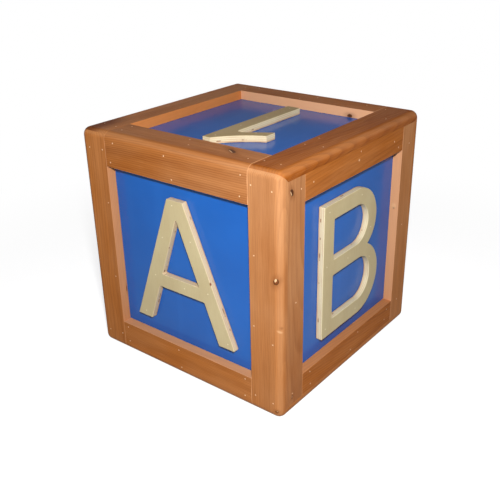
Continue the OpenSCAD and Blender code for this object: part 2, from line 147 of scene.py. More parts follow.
class Net:
    """A material's or a world's node tree."""

    def __init__(self, tree: bpy.types.NodeTree) -> None:
        """Empties a tree and takes it over.

        Args:
            tree: The node tree to build in.
        """
        self.tree = tree
        tree.nodes.clear()

    def node(
        self,
        kind: str,
        settings: dict[str, object] | None = None,
        sockets: dict[str | int, object] | None = None,
        out: str | int = 0,
    ) -> Wire:
        """Adds a node.

        Args:
            kind: Blender's name of the node's type.
            settings: The node's own settings, set first. The key "stops" fills a colour ramp.
            sockets: Values or wires for the node's inputs, by name or index.
            out: The output to return, by name or index.

        Returns:
            The output asked for.
        """
        made = self.tree.nodes.new(kind)
        for key, value in (settings or {}).items():
            if key == "stops":
                self._fill_ramp(made.color_ramp, value)
            else:
                setattr(made, key, value)
        for key, value in (sockets or {}).items():
            if isinstance(value, Wire):
                self.tree.links.new(value.socket, made.inputs[key])
            else:
                made.inputs[key].default_value = value
        return Wire(self, made.outputs[out] if len(made.outputs) else None)

    @staticmethod
    def _fill_ramp(ramp: bpy.types.ColorRamp, stops: list[tuple[float, float]]) -> None:
        """Gives a ramp grey stops.

        Args:
            ramp: The ramp.
            stops: Places from 0 to 1, each with its grey level.
        """
        while len(ramp.elements) < len(stops):
            ramp.elements.new(1)
        for element, (place, level) in zip(ramp.elements, stops):
            element.position = place
            element.color = (level, level, level, 1)

    def along(self, vector: Wire, axis: Vector) -> Wire:
        """How far a vector reaches along an axis.

        Args:
            vector: The vector.
            axis: The axis, one unit long.

        Returns:
            The distance.
        """
        sockets = {0: vector, 1: axis}
        return self.node("ShaderNodeVectorMath", {"operation": "DOT_PRODUCT"}, sockets, "Value")

    def offsets(self, directions: "Directions", middle: Vector | None = None) -> Place:
        """How far the point on the surface lies out in each of some directions.

        Args:
            directions: The directions, in the frame that the whole block shares.
            middle: Where to measure from, if not from that frame's origin.

        Returns:
            The distances.
        """
        here = self.node("ShaderNodeTexCoord", out="Object")
        found = tuple(self.along(here, axis) for axis in directions)
        if middle is None:
            return found
        return tuple(reach - middle.dot(axis) for reach, axis in zip(found, directions))

    def point(self, x: Value, y: Value, z: Value) -> Wire:
        """A vector from three numbers."""
        return self.node("ShaderNodeCombineXYZ", {}, {0: x, 1: y, 2: z})

    def noise(self, vector: Wire, detail: float = 2, roughness: float = 0.5) -> Wire:
        """Smooth noise from 0 to 1, one feature to a unit.

        Args:
            vector: Where to read it.
            detail: How many finer layers it has.
            roughness: How strong those layers are.

        Returns:
            The noise.
        """
        sockets = {"Vector": vector, "Scale": 1, "Detail": detail, "Roughness": roughness}
        return self.node("ShaderNodeTexNoise", {}, sockets)

    def texture(
        self,
        place: Place,
        fineness: tuple[float, float, float],
        detail: float = 2,
        roughness: float = 0.5,
        shift: float = 0,
    ) -> Wire:
        """Smooth noise that is stretched in each direction on its own.

        Args:
            place: Where to read it.
            fineness: Features to a metre in each direction.
            detail: How many finer layers it has.
            roughness: How strong those layers are.
            shift: Moves it along, which keeps the pattern apart from another piece's.

        Returns:
            The noise.
        """
        x, y, z = (part * size for part, size in zip(place, fineness))
        return self.noise(self.point(x + shift if shift else x, y, z), detail, roughness)

    def rise(self, value: Wire, low: float, high: float, to: tuple[float, float] = (0, 1)) -> Wire:
        """A smooth step.

        Args:
            value: What drives it.
            low: Where it starts. It may lie above high, which turns the step round.
            high: Where it ends.
            to: Its levels at low and at high.

        Returns:
            The step's level.
        """
        if low > high:
            low, high, to = high, low, (to[1], to[0])
        sockets = {"Value": value, "From Min": low, "From Max": high}
        sockets |= {"To Min": to[0], "To Max": to[1]}
        return self.node("ShaderNodeMapRange", {"interpolation_type": "SMOOTHSTEP"}, sockets)

    def mix(self, share: Value, under: "Wire | Colour", over: "Wire | Colour") -> Wire:
        """Mixes two colours.

        Args:
            share: How much of the upper colour shows.
            under: The lower colour.
            over: The upper colour.

        Returns:
            The mixed colour.
        """
        return self.node("ShaderNodeMix", {"data_type": "RGBA"}, {0: share, 6: under, 7: over}, 2)

    def coats(self, ground: "Wire | Colour", *coats: tuple[Value, Colour]) -> Wire:
        """Lays colours over a ground, one after the other.

        Args:
            ground: The colour below them all.
            coats: How much of each colour shows, and the colour.

        Returns:
            The mixed colour.
        """
        for share, colour in coats:
            ground = self.mix(share, ground, colour)
        return ground

    def surface(
        self,
        colour: Wire,
        roughness: Wire,
        relief: tuple[Wire, float, float],
        specular: float = 0.5,
        metallic: float = 0,
    ) -> None:
        """Ends a material in a Principled surface.

        Args:
            colour: The base colour.
            roughness: The roughness.
            relief: Small heights from 0 to 1, how high 1 is, and how much of the effect is used.
            specular: Strength of the reflection.
            metallic: 1 for a metal.
        """
        height, distance, strength = relief
        sockets = {"Height": height, "Distance": distance, "Strength": strength}
        normal = self.node("ShaderNodeBump", {}, sockets)
        sockets = {"Base Color": colour, "Roughness": roughness, "Normal": normal}
        sockets |= {"Specular IOR Level": specular, "Metallic": metallic}
        shader = self.node("ShaderNodeBsdfPrincipled", {}, sockets)
        self.node("ShaderNodeOutputMaterial", {}, {"Surface": shader})


def srgb(red: int, green: int, blue: int) -> Colour:
    """A colour as it is written on a screen, from 0 to 255.

    Args:
        red: The red level.
        green: The green level.
        blue: The blue level.

    Returns:
        The colour in linear light.
    """
    levels = [level / 255 for level in (red, green, blue)]
    linear = (x / 12.92 if x < 0.04045 else ((x + 0.055) / 1.055) ** 2.4 for x in levels)
    return (*linear, 1.0)


WHITE = srgb(255, 255, 255)


def around(middle: float, spread: float) -> tuple[float, float]:
    """The levels that lie a spread below and above a middle."""
    return middle - spread, middle + spread


def material(name: str) -> tuple[bpy.types.Material, Net]:
    """Makes an empty material.

    Args:
        name: The material's name.

    Returns:
        The material and its node tree.
    """
    made = bpy.data.materials.new(name)
    made.use_nodes = True
    return made, Net(made.node_tree)


# --- Places on the block ------------------------------------------------------------------------


@dataclass(frozen=True)
class Sizes:
    """The block's sizes, as its source gives them.

    Attributes:
        side: The cube's side.
        edge_radius: Radius of its outer edges and corners.
        board_thickness: Thickness of the frames' boards.
        board_width: Their width, measured on the face.
        character_thickness: Thickness of a character's plywood.
        panel_thickness: Thickness of a panel's plywood.
        head_radius: Radius of a brad's head.
        head_depth: How deep the underside of that head lies.
        shank_radius: Radius of a brad's shank.
        point_cover: Plywood that is left below a brad's point.
    """

    side: float = 460 * MM
    edge_radius: float = 15 * MM
    board_thickness: float = 19 * MM
    board_width: float = 65 * MM
    character_thickness: float = 12.7 * MM
    panel_thickness: float = 12.7 * MM
    head_radius: float = 1.3 * MM
    head_depth: float = 2.5 * MM
    shank_radius: float = 0.8 * MM
    point_cover: float = 3 * MM

    @property
    def half(self) -> float:
        """Half the cube's side."""
        return self.side / 2

    @property
    def opening(self) -> float:
        """Side of the opening that a frame leaves."""
        return self.side - 2 * self.board_width


SIZES = Sizes()
MIDDLE = Vector((0, 0, SIZES.half))

Directions = tuple[Vector, ...]
RIGHTWARD, BACKWARD, UPWARD = Vector((1, 0, 0)), Vector((0, 1, 0)), Vector((0, 0, 1))
SQUARE = RIGHTWARD, BACKWARD, UPWARD


def turned_to(directions: Directions, origin: Vector) -> Matrix:
    """The matrix that turns X, Y and Z into three directions, and then moves.

    Args:
        directions: The three directions.
        origin: Where the origin comes to lie.

    Returns:
        The matrix.
    """
    return Matrix.Translation(origin) @ Matrix(directions).transposed().to_4x4()


class Face(Enum):
    """A side of the block: its name and its directions right, up and out."""

    FRONT = ("front", (1, 0, 0), (0, 0, 1), (0, -1, 0))
    RIGHT = ("right", (0, 1, 0), (0, 0, 1), (1, 0, 0))
    BACK = ("back", (-1, 0, 0), (0, 0, 1), (0, 1, 0))
    LEFT = ("left", (0, -1, 0), (0, 0, 1), (-1, 0, 0))
    TOP = ("top", (1, 0, 0), (0, 1, 0), (0, 0, 1))
    BOTTOM = ("bottom", (1, 0, 0), (0, -1, 0), (0, 0, -1))

    @property
    def title(self) -> str:
        """The face's name in the names of its pieces."""
        return self.value[0]

    @property
    def right(self) -> Vector:
        """The direction to the right."""
        return Vector(self.value[1])

    @property
    def up(self) -> Vector:
        """The direction up."""
        return Vector(self.value[2])

    @property
    def out(self) -> Vector:
        """The direction out of the block."""
        return Vector(self.value[3])

    @property
    def directions(self) -> Directions:
        """The directions right, up and out."""
        return self.right, self.up, self.out

    @property
    def inset(self) -> bool:
        """Whether its frame is set in between the edges of the other frames."""
        return self in (Face.RIGHT, Face.LEFT)

    def laid(self) -> Matrix:
        """The matrix that lays a drawing on the face, with its Z at 0 on the outer plane."""
        return turned_to(self.directions, MIDDLE + self.out * SIZES.half)


# --- Finishes -----------------------------------------------------------------------------------


class MarkKind(Enum):
    """What a mark in a board is."""

    # The bright lip, the bright side and a knot's pale spot are painted highlights: glints drawn in
    # colour
    KNOT = "a knot with a bark rim"
    SPLIT = "a split knot with a bright lip"
    PIN = "a pin knot with a bright side"
    DENT = "a dent"
    SMEAR = "a smear of filler"
    HEART = "a patch of dark heartwood"


@dataclass(frozen=True)
class Mark:
    """A mark in a board.

    Attributes:
        kind: What it is.
        at: Its middle, on the board's surface.
        radius: Its radius across the grain.
        stretch: How much longer it is along the grain.
        turn: How far it is turned away from the grain, in degrees.
        strength: How plainly it shows: 1 for an ordinary mark, more for a dark patch.
    """

    kind: MarkKind
    at: tuple[float, float, float]
    radius: float
    stretch: float = 1.4
    turn: float = 0.0
    strength: float = 1.0


@dataclass(frozen=True)
class Grain:
    """How a board was cut from its tree.

    Attributes:
        spacing: Width of a growth ring.
        pith: Place of the tree's middle across the width and through the thickness.
        lean: How far the middle drifts across and in for each metre of length.
        contrast: How dark the late wood shows.
        tone: The board's own shade, from 0, pale, to 1, deep.
        tan: How tan rather than orange the board is, from 0 to 1.
        raw: How pale and bare the board's edge in the recess is, from 0 to 1.
        marks: The marks that show.
        drift: How much more tan and pale the board gets for each metre of its length.
        raw_orange: Whether that bare edge is orange and not tan.
    """

    spacing: float
    pith: tuple[float, float]
    lean: tuple[float, float]
    contrast: float
    tone: float
    tan: float
    raw: float = 0.5
    marks: tuple[Mark, ...] = ()
    drift: float = 0.0
    raw_orange: bool = False


@dataclass(frozen=True)
class MarkAreas:
    """Where a board's marks lie: the strength of each of their parts."""

    core: Value
    rim: Value
    # Dark grain round knots and heartwood, and a dent's painted shade
    halo: Value
    # Painted glints on knots, a dent's painted highlight, and filler
    light: Value


# How dark each part of a growth ring is
RING = [(0, 0), (0.4, 0.1), (0.82, 0.9), (0.92, 0.75), (1, 0)]


@dataclass(frozen=True)
class PlanedWood:
    """Planed softwood under a clear satin varnish.

    Attributes:
        pale: Early wood of an orange board.
        deep: The deepest tone of an orange board.
        tan_pale: Early wood of a tan board.
        tan_deep: The deepest tone of a tan board.
        raw: The bare edge in the recess.
        raw_orange: The same on a board that has it orange.
        late: Late wood.
        core: The inside of a knot.
        bark: The rim of a knot, and the pores.
        light: The painted glint on a knot, the painted highlight below a dent, and filler.
        seam: The pale hairline along a butted end.
        rubbed_sheen: The rounded edges: paler rubbed wood with a painted sheen.
        roughness: The varnish's roughness.
        specular: Strength of the varnish's reflection.
        sway: How far the rings sway over a hand's length.
        ripple: How far they ripple over a finger's width.
        swirl: How far they bend round a knot.
        tone_spread: How far a board's shade varies.
        tan_spread: How far its tan varies.
        fibres: How plainly the fibres show.
        pores: How plainly the pores show.
        rub_sheen: How plainly the rounded edges show that paler wood and painted sheen.
        relief: Height of the grain.
    """

    pale: Colour = srgb(209, 125, 46)
    deep: Colour = srgb(151, 81, 23)
    tan_pale: Colour = srgb(212, 150, 98)
    tan_deep: Colour = srgb(155, 102, 63)
    raw: Colour = srgb(220, 166, 127)
    raw_orange: Colour = srgb(218, 137, 77)
    late: Colour = srgb(104, 48, 16)
    core: Colour = srgb(120, 62, 30)
    bark: Colour = srgb(52, 22, 10)
    light: Colour = srgb(236, 194, 146)
    seam: Colour = srgb(226, 166, 116)
    # Paler rubbed wood and a painted sheen on the rounded edges
    rubbed_sheen: Colour = srgb(230, 178, 130)
    roughness: float = 0.4
    specular: float = 0.07
    sway: float = 12 * MM
    ripple: float = 1.5 * MM
    swirl: float = 3.5 * MM
    tone_spread: float = 0.12
    tan_spread: float = 0.15
    fibres: float = 0.24
    pores: float = 0.14
    rub_sheen: float = 0.15
    relief: float = 0.05 * MM

    @staticmethod
    def _marks(net: Net, place: Place, grain: Grain, axes: "Axes") -> MarkAreas:
        """Finds the areas of a board's marks.

        Args:
            net: The material's node tree.
            place: Distances along, across and through the board.
            grain: How the board was cut.
            axes: The board's directions.

        Returns:
            The areas.
        """
        core = rim = halo = light = 0
        u, v, w = place
        ragged = net.texture(place, (350, 350, 350)) * 0.5 + 0.75
        for mark in grain.marks:
            mu, mv, mw = axes.local(Vector(mark.at))
            c, s = math.cos(math.radians(mark.turn)), math.sin(math.radians(mark.turn))
            # From here on lengths are in radii of the mark
            long = ((u - mu) * c + (v - mv) * s) / (mark.radius * mark.stretch)
            wide = ((v - mv) * c - (u - mu) * s) / mark.radius
            deep = (w - mw) / mark.radius
            far = (long**2 + wide**2 + deep**2) ** 0.5
            edge = far * ragged
            if mark.kind is MarkKind.SMEAR:
                light = light + net.rise(edge, 1, 0.3, (0, 0.5 * mark.strength))
                continue
            if mark.kind is MarkKind.HEART:
                halo = halo + net.rise(far, 1.4, 0.4, (0, mark.strength))
                continue
            # A dent drawn as painted light: a painted highlight band below it and a painted shade
            # arc above it
            if mark.kind is MarkKind.DENT:
                band = ((long + 0.5) ** 2 * 5 + wide**2 * 0.5 + deep**2 * 0.5) ** 0.5
                arc = ((long - 0.6) ** 2 * 3 + wide**2 + deep**2) ** 0.5
                light = light + net.rise(band, 1, 0.2, (0, 0.4 * mark.strength))
                halo = halo + net.rise(arc, 1.1, 0.3, (0, mark.strength))
                continue
            body = net.rise(edge, 1.05, 0.85, (0, mark.strength))
            inside = net.rise(edge, 0.72, 0.5, (0, mark.strength))
            core = core + inside
            rim = rim + body - inside * (0.1 if mark.kind is MarkKind.SPLIT else 0.9)
            beside = (far**2 - long**2 * 0.8) ** 0.5
            glow = net.rise(beside, 2.6, 0.6) * net.rise(abs(long), 3.4, 0.6)
            halo = halo + glow * mark.strength
            # Painted highlight: a pale glint on each knot, drawn in the light colour
            spot = {
                MarkKind.KNOT: long**2 + (wide + 0.2) ** 2 * 6,
                MarkKind.SPLIT: long**2 * 0.8 + (wide + 0.5) ** 2 * 9,
                MarkKind.PIN: (long - 0.3) ** 2 * 1.3 + (wide + 0.35) ** 2 * 2.4,
            }[mark.kind]
            shine = net.rise((spot + deep**2) ** 0.5, 0.75, 0.35, (0, 0.95 * mark.strength))
            light = light + shine
        return MarkAreas(core, rim, halo, light)

    def _rings(
        self, net: Net, place: Place, grain: Grain, marks: MarkAreas | None, seed: float
    ) -> Wire:
        """Draws the growth rings.

        Args:
            net: The material's node tree.
            place: Distances along, across and through the board.
            grain: How the board was cut.
            marks: The areas of its marks.
            seed: Keeps the board's pattern apart from the others.

        Returns:
            How dark the late wood is.
        """
        u, v, w = place
        sway = net.texture(place, (4, 14, 14), 1, shift=seed) - 0.5
        ripple = net.texture(place, (26, 55, 55), shift=seed) - 0.5
        across = v - u * grain.lean[0] - grain.pith[0]
        inward = w - u * grain.lean[1] - grain.pith[1]
        reach = (across**2 + inward**2) ** 0.5 + sway * self.sway + ripple * self.ripple
        if marks:
            reach = reach + marks.halo * self.swirl
        ring = (reach / grain.spacing).turns()
        late = net.node("ShaderNodeValToRGB", {"stops": RING}, {0: ring})
        year = net.noise(net.point(reach * 190, u * 1.5 + seed, 0), 1)
        return late * net.rise(year, 0.25, 0.75, (0.45, 1.35)) * grain.contrast

    @staticmethod
    def _seam(net: Net, place: Place, axes: "Axes", seed: float) -> Wire:
        """Finds the pale hairline along a butted board's ends.

        Args:
            net: The material's node tree.
            place: Distances along, across and through the board.
            axes: The board's directions and the distance to its ends.
            seed: Keeps the board's pattern apart from the others.

        Returns:
            How plainly they show.
        """
        u, v, w = place
        start, full = axes.seam_at - 1.5 * MM, axes.seam_at - 0.8 * MM
        # A pale hairline along the butted end, its strength varying along it
        hairline_noise = net.texture((seed, v, w), (1, 45, 45), 1)
        hairline = net.rise(abs(u), start, full, (0, 0.8)) * net.rise(hairline_noise, 0.35, 0.65, (0.4, 1))
        return hairline * net.rise(u, -10 * MM, 10 * MM, (0.35, 1))

    def paint(self, name: str, grain: Grain, axes: "Axes", seed: float) -> bpy.types.Material:
        """Makes a board's material.

        Args:
            name: The material's name.
            grain: How the board was cut.
            axes: The board's directions and middle.
            seed: Keeps the board's pattern apart from the others.

        Returns:
            The material.
        """
        made, net = material(name)
        place = u, v, _ = net.offsets(axes.directions, axes.middle)
        marks = self._marks(net, place, grain, axes) if grain.marks else None
        late = self._rings(net, place, grain, marks, seed)
        fibre = net.texture(place, (18, 700, 700), 4, 0.7, seed)
        streak = net.texture(place, (2.2, 60, 60), shift=seed)
        patch = net.texture(place, (7, 16, 16), shift=seed)
        pores = net.rise(net.texture(place, (130, 2600, 2600), 1, shift=seed), 0.66, 0.76)

        drift = u * grain.drift
        shade = net.rise(streak, 0.28, 0.72, around(grain.tone, self.tone_spread))
        depth = shade + patch * 0.4 - 0.2 - drift * 0.15
        tan = net.rise(patch, 0.7, 0.3, around(grain.tan, self.tan_spread)) + drift
        orange_wood = net.mix(depth, self.pale, self.deep)
        tan_wood = net.mix(depth, self.tan_pale, self.tan_deep)
        # The rounded edges get paler rubbed wood and a painted sheen, by how far their normal turns
        # from the face
        turned = abs(net.along(net.node("ShaderNodeNewGeometry", out="Normal"), axes.out))
        rubbed_sheen = net.rise(turned, 0.99, 0.85) * net.rise(turned, 0.3, 0.6, (0, self.rub_sheen))
        rim = axes.half_width - 0.9 * MM, axes.half_width - 0.3 * MM
        recess = net.rise(v * axes.inner, *rim)
        colour = net.coats(
            net.mix(tan, orange_wood, tan_wood),
            (late, self.late),
            (net.rise(fibre, 0.45, 0.75, (0, self.fibres)), self.late),
            (net.rise(fibre, 0.48, 0.26, (0, self.fibres)), self.tan_pale),
            (pores * self.pores, self.bark),
            (rubbed_sheen * net.rise(streak, 0.3, 0.6, (0.7, 1)), self.rubbed_sheen),
            (recess * grain.raw, self.raw_orange if grain.raw_orange else self.raw),
        )
        height = fibre * 0.5 + late * 0.5 - pores * 0.6
        if marks:
            colour = net.coats(
                colour,
                # Dark grain round knots and heartwood, and a dent's painted shade
                (marks.halo * 0.35, self.late),
                (marks.core * 0.85, self.core),
                (marks.rim * 0.8, self.bark),
                # Painted glints on knots and a dent's painted highlight, with the filler
                (marks.light, self.light),
            )
            height = height + marks.light - marks.rim * 2
        if axes.seam_at:
            colour = net.mix(self._seam(net, place, axes, seed), colour, self.seam)
        gloss = net.rise(fibre, 0.3, 0.7, (self.roughness - 0.05, self.roughness + 0.08))
        roughness = gloss + late * 0.06 + recess * 0.15
        net.surface(colour, roughness, (height, self.relief, 0.6), self.specular)
        return made


@dataclass(frozen=True)
class PanelPaint:
    """Blue enamel rolled on to plywood, satin and a little uneven.

    Attributes:
        blue: The paint's colour.
        thin: Where it lies thin.
        thick: Where it lies thick.
        roughness: Its roughness.
        specular: Strength of its reflection.
        relief: Height of its orange peel.
    """

    blue: Colour = srgb(18, 96, 184)
    thin: Colour = srgb(28, 104, 192)
    thick: Colour = srgb(14, 90, 176)
    roughness: float = 0.19
    specular: float = 0.5
    relief: float = 0.02 * MM

    def paint(self, name: str, face: Face) -> bpy.types.Material:
        """Makes a panel's material.

        Args:
            name: The material's name.
            face: The side of the block that the panel is on.

        Returns:
            The material.
        """
        made, net = material(name)
        place = net.offsets(face.directions)
        cloud = net.texture(place, (7, 7, 7), 3)
        lap = net.texture(place, (55, 4, 55))
        peel = net.texture(place, (620, 620, 620), 2, 0.6)
        veneer = net.texture(place, (700, 16, 700))
        colour = net.coats(
            self.thick,
            (net.rise(cloud, 0.3, 0.7), self.blue),
            (net.rise(lap, 0.5, 0.8, (0, 0.25)), self.thin),
        )
        height = peel * 0.55 + veneer * 0.35 + lap * 0.1
        levels = self.roughness - 0.03, self.roughness + 0.06
        roughness = net.rise(cloud + peel * 0.4, 0.4, 1.0, levels)
        net.surface(colour, roughness, (height, self.relief, 0.5), self.specular)
        return made


@dataclass(frozen=True)
class Pit:
    """A little hole where a knot was cut through in a character's edge.

    Attributes:
        at: Its middle.
        radius: Its radius.
        stretch: How much longer it is up the face.
    """

    at: tuple[float, float, float]
    radius: float = 0.9 * MM
    stretch: float = 2.0


@dataclass(frozen=True)
class CutPlywood:
    """Pale birch plywood: a sealed face veneer, and plies that show along a sanded edge.

    Attributes:
        face_pale: The palest veneer.
        face_deep: The tannest veneer.
        ply_pale: Plies that run along the edge.
        ply_deep: Plies that end at the edge.
        back_ply: The plies next to the panel.
        glue: Lines of glue, specks in the veneer, and the darker band along the foot of the edge.
        void: Gaps in a ply, and pits.
        plies: How many plies there are.
        tan_spread: How far a veneer's tan varies.
        roughness: The sealed veneer's roughness.
        edge_roughness: The sanded edge's roughness.
        specular: Strength of the reflection.
        relief: Height of the grain.
    """

    face_pale: Colour = srgb(208, 194, 152)
    face_deep: Colour = srgb(171, 145, 100)
    ply_pale: Colour = srgb(223, 212, 176)
    ply_deep: Colour = srgb(198, 160, 122)
    back_ply: Colour = srgb(196, 128, 78)
    glue: Colour = srgb(150, 104, 74)
    void: Colour = srgb(122, 62, 34)
    plies: int = 7
    tan_spread: float = 0.11
    roughness: float = 0.42
    edge_roughness: float = 0.6
    specular: float = 0.35
    relief: float = 0.06 * MM

    def _edge(self, net: Net, place: Place, toast: float, seed: float) -> tuple[Wire, Wire]:
        """The plies along the sanded edge.

        Args:
            net: The material's node tree.
            place: Distances right and up, and the height over the panel in thicknesses.
            toast: How tan the edge is, from 0 to 1.
            seed: Keeps the character's pattern apart from the others.

        Returns:
            The edge's colour and its height.
        """
        across, rise, depth = place
        waver = net.texture((across, rise, 3), (60, 60, 1), 1, shift=seed) * 0.02
        layer = (depth + waver) * self.plies
        pair = (layer * 0.5).turns()
        turned = net.rise(pair, 0.46, 0.54) - net.rise(pair, 0.94, 1.0)
        line = net.rise(abs(layer.turns() - 0.5), 0.4, 0.49)
        grit = net.texture(place, (700, 700, 14), 2, 0.7, seed)
        long = net.texture((across, rise, 8), (24, 24, 1), shift=seed)
        hole = net.texture((across, rise, 2), (55, 55, 1), shift=seed)
        void = net.rise(hole, 0.59, 0.66) * net.rise(abs(depth - 0.36), 0.1, 0.04, (0, 0.85))
        # A darker band along the foot of the edge, next to the panel
        foot = net.rise(depth, 0.16, 0.06) * net.rise(long, 0.35, 0.6, (0.2, 0.7))
        edge = net.coats(
            self.ply_pale,
            (turned * net.rise(long, 0.3, 0.7, (0.25, 0.7)), self.ply_deep),
            (toast, self.ply_deep),
            (net.rise(depth + long * 0.2, 0.5, 0.34, (0, 0.3)), self.back_ply),
            ((line * 0.4).most(foot), self.glue),
            (net.rise(grit, 0.45, 0.8, (0, 0.5)), self.ply_deep),
            (void, self.void),
        )
        return edge, grit * 0.35 - line * 0.5 - void

    @staticmethod
    def _pits(net: Net, place: Place, character: "Character") -> Value:
        """Finds a character's pits.

        Args:
            net: The material's node tree.
            place: Distances right, up and out.
            character: The character.

        Returns:
            How plainly they show.
        """
        found = 0
        for pit in character.pits:
            at = [Vector(pit.at).dot(axis) for axis in character.face.directions]
            aside, aloft, inward = (part - there for part, there in zip(place, at))
            far = (aside**2 + (aloft / pit.stretch) ** 2 + inward**2) ** 0.5
            found = net.rise(far, pit.radius * 1.25, pit.radius * 0.6).most(found)
        return found

    def paint(self, name: str, character: "Character", seed: float) -> bpy.types.Material:
        """Makes a character's material.

        Args:
            name: The material's name.
            character: The character.
            seed: Keeps the character's pattern apart from the others.

        Returns:
            The material.
        """
        made, net = material(name)
        face = character.face
        place = across, rise, out = net.offsets(face.directions)
        back = MIDDLE.dot(face.out) + SIZES.half - SIZES.board_thickness
        depth = (out - back) / SIZES.character_thickness
        normal = net.node("ShaderNodeNewGeometry", out="True Normal")
        facing = net.rise(net.along(normal, face.out), 0.45, 0.85)

        fibre = net.texture((across, rise, 0), (1200, 40, 1), 3, 0.6, seed)
        cloud = net.texture((across, rise, 0), (22, 9, 1), 3, shift=seed)
        flake = net.texture((across, rise, 5), (900, 260, 1), 1, shift=seed)
        flake = net.rise(flake, 0.64, 0.76)
        tan = net.rise(cloud, 0.25, 0.75, around(character.tan, self.tan_spread))
        veneer = net.coats(
            self.face_pale,
            (tan, self.face_deep),
            (net.rise(fibre, 0.4, 0.75, (0, 0.22)), self.face_deep),
            (flake * 0.15, self.glue),
        )
        pits = self._pits(net, place, character)
        edge, edge_height = self._edge(net, (across, rise, depth), character.toast, seed)
        colour = net.mix(pits, net.mix(facing, edge, veneer), self.void)
        gloss = facing * (self.roughness - self.edge_roughness) + self.edge_roughness
        height = fibre * 0.4 + edge_height - flake * 0.4 - pits
        net.surface(colour, gloss + fibre * 0.06, (height, self.relief, 0.6), self.specular)
        return made


@dataclass(frozen=True)
class GroundFinish:
    """A plain mottled finish for fasteners, filler and hidden wood.

    Attributes:
        base: The colour between the spots.
        spots: The colour of the spots.
        grain: How fine the spots are along each axis.
        roughness: The roughness between the spots.
        metallic: 1 for a metal.
        inner: The colour below the boards' outer faces, where it isn't the same.
        relief: Height of the mottle.
    """

    base: Colour
    spots: Colour
    grain: tuple[float, float, float]
    roughness: float
    metallic: float = 0
    inner: Colour | None = None
    relief: float = 0.08 * MM

    def paint(self, name: str) -> bpy.types.Material:
        """Makes the material.

        Args:
            name: The material's name.

        Returns:
            The material.
        """
        made, net = material(name)
        mottle = net.texture(net.offsets(SQUARE), self.grain, 3, 0.6)
        colour = net.mix(net.rise(mottle, 0.35, 0.7), self.base, self.spots)
        if self.inner:
            x, y, z = (abs(reach) for reach in net.offsets(SQUARE, MIDDLE))
            outer = net.rise(x.most(y).most(z), SIZES.half - 5 * MM, SIZES.half - 4 * MM)
            colour = net.mix(outer, self.inner, colour)
        roughness = net.rise(mottle, 0.3, 0.7, (self.roughness, self.roughness + 0.15))
        net.surface(colour, roughness, (mottle, self.relief, 0.5), metallic=self.metallic)
        return made


# --- Mesh work ----------------------------------------------------------------------------------


@dataclass(frozen=True)
class Axes:
    """A board's middle and its directions along, across and out.

    Attributes:
        middle: The middle of the board's outer face.
        along: The direction of its length.
        across: The direction of its width.
        out: The direction out of the block.
        inner: 1 where the recess lies in the direction across, or -1 where it lies against it.
        half_width: Half the board's width.
        seam_at: Distance from the middle to a butted end, or 0 for a board with none.
    """

    middle: Vector
    along: Vector
    across: Vector
    out: Vector
    inner: int
    half_width: float
    seam_at: float

    @property
    def directions(self) -> Directions:
        """The three directions."""
        return self.along, self.across, self.out

    def local(self, point: Vector) -> tuple[float, float, float]:
        """A point's distances along, across and out from the middle."""
        return tuple((point - self.middle).dot(axis) for axis in self.directions)


@dataclass(frozen=True)
class Brad:
    """A brad's hole: the middle of its mouth, the face it is driven into and its depth."""

    mouth: Vector
    face: Face
    depth: float

    def meets(self, low: Vector, high: Vector) -> bool:
        """Whether the hole reaches a box.

        Args:
            low: The box's lowest corner.
            high: The box's highest corner.

        Returns:
            True if it does.
        """
        ends = (self.mouth, self.mouth - self.face.out * self.depth)
        r = SIZES.shank_radius
        return all(
            max(end[k] for end in ends) + r > low[k] and min(end[k] for end in ends) - r < high[k]
            for k in range(3)
        )


def link(name: str, data: bpy.types.ID) -> bpy.types.Object:
    """Puts a mesh, a curve, a lamp or a camera in the scene.

    Args:
        name: The object's name.
        data: What it shows.

    Returns:
        The object.
    """
    made = bpy.data.objects.new(name, data)
    bpy.context.scene.collection.objects.link(made)
    return made


def opened(mesh: bpy.types.Mesh, weld: float) -> bmesh.types.BMesh:
    """Opens a mesh for work and joins its doubled points.

    Args:
        mesh: The mesh.
        weld: How near to each other the doubled points lie.

    Returns:
        The opened mesh.
    """
    made = bmesh.new()
    made.from_mesh(mesh)
    bmesh.ops.remove_doubles(made, verts=made.verts, dist=weld)
    return made


def closed(made: bmesh.types.BMesh, mesh: bpy.types.Mesh) -> bpy.types.Mesh:
    """Ends the work on an opened mesh.

    Args:
        made: The opened mesh, which is freed.
        mesh: The mesh that gets its points and faces.

    Returns:
        That mesh.
    """
    made.to_mesh(mesh)
    made.free()
    return mesh


def prism(outline: list[tuple[float, float]], start: float, end: float) -> bmesh.types.BMesh:
    """Runs an outline in Y and Z along X.

    Args:
        outline: The outline's corners, in order.
        start: Where it starts.
        end: Where it ends.

    Returns:
        The closed mesh.
    """
    made = bmesh.new()
    rings = [[made.verts.new((x, y, z)) for y, z in outline] for x in (start, end)]
    made.faces.new(rings[0])
    made.faces.new(reversed(rings[1]))
    count = len(outline)
    for i in range(count):
        j = (i + 1) % count
        made.faces.new((rings[0][j], rings[0][i], rings[1][i], rings[1][j]))
    bmesh.ops.recalc_face_normals(made, faces=made.faces)
    return made


def slice_at(made: bmesh.types.BMesh, axis: int, places: list[float]) -> None:
    """Cuts new edges into a mesh where planes across an axis cross it.

    Args:
        made: The mesh.
        axis: 0, 1 or 2 for X, Y or Z.
        places: Where the planes stand.
    """
    normal = SQUARE[axis]
    for place in places:
        bmesh.ops.bisect_plane(
            made,
            geom=made.verts[:] + made.edges[:] + made.faces[:],
            dist=ON_PLANE,
            plane_co=normal * place,
            plane_no=normal,
        )


